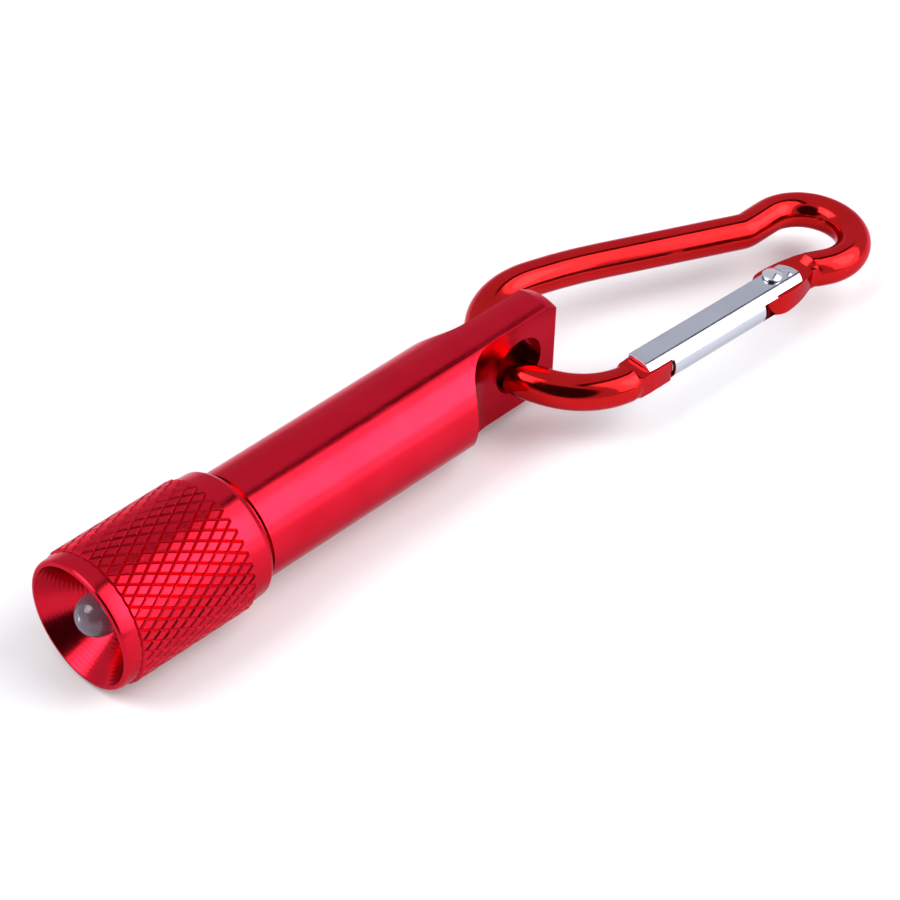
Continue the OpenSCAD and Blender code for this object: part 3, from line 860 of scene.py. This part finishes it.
# %% [markdown]
# ## Finishes
#
# Dyed anodising is a thin clear layer of dye over metal, so the metal's own reflection is
# coloured, and it stays coloured at a grazing angle, where bare metal would turn white.
# The Specular Tint of a metal sets that edge. No real surface is even, so every finish
# below varies its colour and roughness a little with noise, and has a fine relief: lathe
# lines round turned parts, drawn lines along wire, small scratches on the bright steel.

# %% A recipe for finishes
def finish(name, colours, roughness, metallic=1.0, grain=(900, 900, 900), patches=140,
           relief=0.05, lines=None, **sockets):
    """A material whose colour drifts between two tints in soft patches, whose roughness follows
    a stretched grain, and whose relief is that grain with optional lathe lines along an axis."""
    material = bpy.data.materials.new(name)
    material.use_nodes = True
    nodes, links = material.node_tree.nodes, material.node_tree.links
    shader = nodes["Principled BSDF"]
    shader.inputs["Metallic"].default_value = metallic
    for socket, value in sockets.items():
        shader.inputs[socket.replace("_", " ")].default_value = value
    place = nodes.new("ShaderNodeTexCoord")
    patch = nodes.new("ShaderNodeTexNoise")
    patch.inputs["Scale"].default_value = patches
    patch.inputs["Detail"].default_value = 3
    tint = nodes.new("ShaderNodeValToRGB")
    for element, at, colour in zip(tint.color_ramp.elements, (0.3, 0.7), colours):
        element.position, element.color = at, (*colour, 1)
    links.new(place.outputs["Object"], patch.inputs["Vector"])
    links.new(patch.outputs["Fac"], tint.inputs[0])
    links.new(tint.outputs[0], shader.inputs["Base Color"])
    stretch = nodes.new("ShaderNodeMapping")
    stretch.inputs["Scale"].default_value = grain
    fine = nodes.new("ShaderNodeTexNoise")
    fine.inputs["Scale"].default_value = 1
    fine.inputs["Detail"].default_value = 4
    spread = nodes.new("ShaderNodeMapRange")
    spread.inputs["From Min"].default_value, spread.inputs["From Max"].default_value = 0.3, 0.7
    spread.inputs["To Min"].default_value, spread.inputs["To Max"].default_value = roughness
    links.new(place.outputs["Object"], stretch.inputs["Vector"])
    links.new(stretch.outputs[0], fine.inputs["Vector"])
    links.new(fine.outputs["Fac"], spread.inputs["Value"])
    links.new(spread.outputs[0], shader.inputs["Roughness"])
    height = fine.outputs["Fac"]
    if lines:
        axis, spacing, depth = lines
        rings = nodes.new("ShaderNodeTexWave")
        rings.bands_direction = axis
        rings.inputs["Scale"].default_value = math.pi / (10 * spacing)
        rings.inputs["Distortion"].default_value = 0.6
        rings.inputs["Detail"].default_value = 1
        links.new(place.outputs["Object"], rings.inputs["Vector"])
        mixed = nodes.new("ShaderNodeMath")
        mixed.operation = "MULTIPLY_ADD"
        mixed.inputs[1].default_value = depth
        links.new(rings.outputs["Fac"], mixed.inputs[0])
        links.new(height, mixed.inputs[2])
        height = mixed.outputs[0]
    bump = nodes.new("ShaderNodeBump")
    bump.inputs["Strength"].default_value = relief
    bump.inputs["Distance"].default_value = 0.02 * MM
    links.new(height, bump.inputs["Height"])
    links.new(bump.outputs[0], shader.inputs["Normal"])
    return material


print("recipe written")

# %% Mix the finishes that show
DYED_EDGE = (0.85, 0.58, 0.63, 1)
torch_red = finish(
    "torch_red", ((0.46, 0.007, 0.019), (0.50, 0.010, 0.024)), (0.15, 0.21), grain=(300, 1400, 1400),
    relief=0.25, lines=("X", 0.09 * MM, 0.5), Specular_Tint=DYED_EDGE)
knurl_red = finish(
    "knurl_red", ((0.45, 0.007, 0.019), (0.50, 0.010, 0.024)), (0.19, 0.30), grain=(1800, 1800, 1800),
    relief=0.4, Specular_Tint=DYED_EDGE)
hook_red = finish(
    "hook_red", ((0.43, 0.009, 0.010), (0.48, 0.012, 0.013)), (0.09, 0.15), grain=(250, 1500, 1500),
    relief=0.12, Specular_Tint=DYED_EDGE)
gate_nickel = finish(
    "gate_nickel", ((0.41, 0.42, 0.48), (0.47, 0.48, 0.54)), (0.10, 0.20), grain=(150, 2500, 2500),
    relief=0.15)
rivet_steel = finish(
    "rivet_steel", ((0.50, 0.50, 0.53), (0.58, 0.58, 0.61)), (0.12, 0.22), grain=(1500, 1500, 1500),
    relief=0.2)
clear_epoxy = finish(
    "clear_epoxy", ((0.60, 0.50, 0.66), (0.74, 0.66, 0.80)), (0.05, 0.12), metallic=0, grain=(700, 700, 700),
    relief=0.05, Transmission_Weight=0.88, IOR=1.5)
chip_yellow = finish(
    "chip_yellow", ((0.72, 0.55, 0.10), (0.85, 0.70, 0.20)), (0.4, 0.6), metallic=0,
    grain=(6000, 6000, 6000), relief=0.5)
paper = finish(
    "pale_paper", ((0.74, 0.74, 0.75), (0.76, 0.76, 0.76)), (0.6, 0.7), metallic=0, patches=8,
    grain=(40, 40, 40), relief=0.0)
flag_black = finish(
    "flag_black", ((0.02, 0.02, 0.02), (0.03, 0.03, 0.03)), (0.8, 0.9), metallic=0, patches=8, relief=0.0)
print("outer finishes mixed")

# %% Mix the finishes inside
spring_steel = finish(
    "spring_steel", ((0.50, 0.50, 0.52), (0.60, 0.60, 0.63)), (0.2, 0.32), grain=(1500, 1500, 1500),
    relief=0.2)
cell_steel = finish(
    "cell_steel", ((0.62, 0.62, 0.63), (0.72, 0.72, 0.73)), (0.22, 0.34), lines=("X", 0.15 * MM, 0.5),
    relief=0.2)
cell_cap_steel = finish(
    "cell_cap_steel", ((0.66, 0.65, 0.62), (0.75, 0.74, 0.71)), (0.15, 0.25), relief=0.2)
cell_nylon = finish(
    "cell_nylon", ((0.02, 0.08, 0.18), (0.03, 0.10, 0.22)), (0.45, 0.6), metallic=0, relief=0.3)
sleeve_film = finish(
    "sleeve_film", ((0.02, 0.06, 0.16), (0.03, 0.08, 0.20)), (0.18, 0.3), metallic=0, relief=0.2)
white_nylon = finish(
    "white_nylon", ((0.74, 0.73, 0.70), (0.80, 0.79, 0.76)), (0.4, 0.55), metallic=0, relief=0.4)
seal_rubber = finish(
    "seal_rubber", ((0.012, 0.012, 0.013), (0.02, 0.02, 0.021)), (0.5, 0.7), metallic=0, relief=0.4)
lead_tin = finish(
    "lead_tin", ((0.55, 0.55, 0.56), (0.66, 0.66, 0.67)), (0.2, 0.35), relief=0.3)
contact_brass = finish(
    "contact_brass", ((0.62, 0.43, 0.16), (0.72, 0.52, 0.22)), (0.16, 0.28), relief=0.2)
print("inner finishes mixed")


# %% [markdown]
# ## Dressing the pieces
#
# Each new piece stands for the CAD node of the same thing and rides on that node's body.
# The inner nodes that have no visible work to do keep their CAD shape, and only get
# their finish.

# %% Dress the new pieces
def dress(piece, material, body=None, slot=None, *nodes):
    """Gives a piece its finish and, if it is a new one, its body, and hides the CAD nodes that it stands for.
    The slot argument is not used.
    """
    piece.data.materials.clear()
    piece.data.materials.append(material)
    if body:
        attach(piece, body)
    if nodes:
        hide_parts(*nodes)


dress(knurled_head, torch_red, "head", "anodised_red", "head_shell")
dress(turned_barrel, torch_red, "barrel_body", "anodised_red", "barrel")
dress(hook_wire, hook_red, "hook", "anodised_hook_red", "hook_frame")
dress(folded_gate, gate_nickel, "gate", "nickel_sheet", "gate_channel")
dress(dimple, gate_nickel, "gate", "nickel_sheet")
dress(domed_rivet, rivet_steel, "gate", "rivet_steel", "gate_rivet")
dress(clear_lamp, clear_epoxy, "lamp_module", "clear_epoxy", "led_lens")
knurled_head.data.materials.append(knurl_red)
for face in knurled_head.data.polygons:
    x = (face.center.x - RIM) / MM
    radius = math.hypot(face.center.y, face.center.z) / MM
    if KNURL_FROM - KNURL_EDGE < x < KNURL_TO + KNURL_EDGE and radius > GROOVE_R - 0.05:
        face.material_index = 1
print("knurl faces:", sum(face.material_index for face in knurled_head.data.polygons))

# %% Dress the inner nodes and the studio
inner_finishes = {
    "neck_seal_ring": seal_rubber, "battery_sleeve": sleeve_film, "tail_spring": spring_steel,
    "led_cathode_lead": lead_tin, "led_anode_lead": lead_tin, "led_chip": chip_yellow,
    "led_carrier": white_nylon, "front_contact": contact_brass, "gate_spring": spring_steel}
for number in (1, 2, 3):
    inner_finishes[f"cell_can_{number}"] = cell_steel
    inner_finishes[f"cell_gasket_{number}"] = cell_nylon
    inner_finishes[f"cell_cap_{number}"] = cell_cap_steel
for node, material in inner_finishes.items():
    dress(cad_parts[node], material)
floor.data.materials.append(paper)
flag.data.materials.append(flag_black)
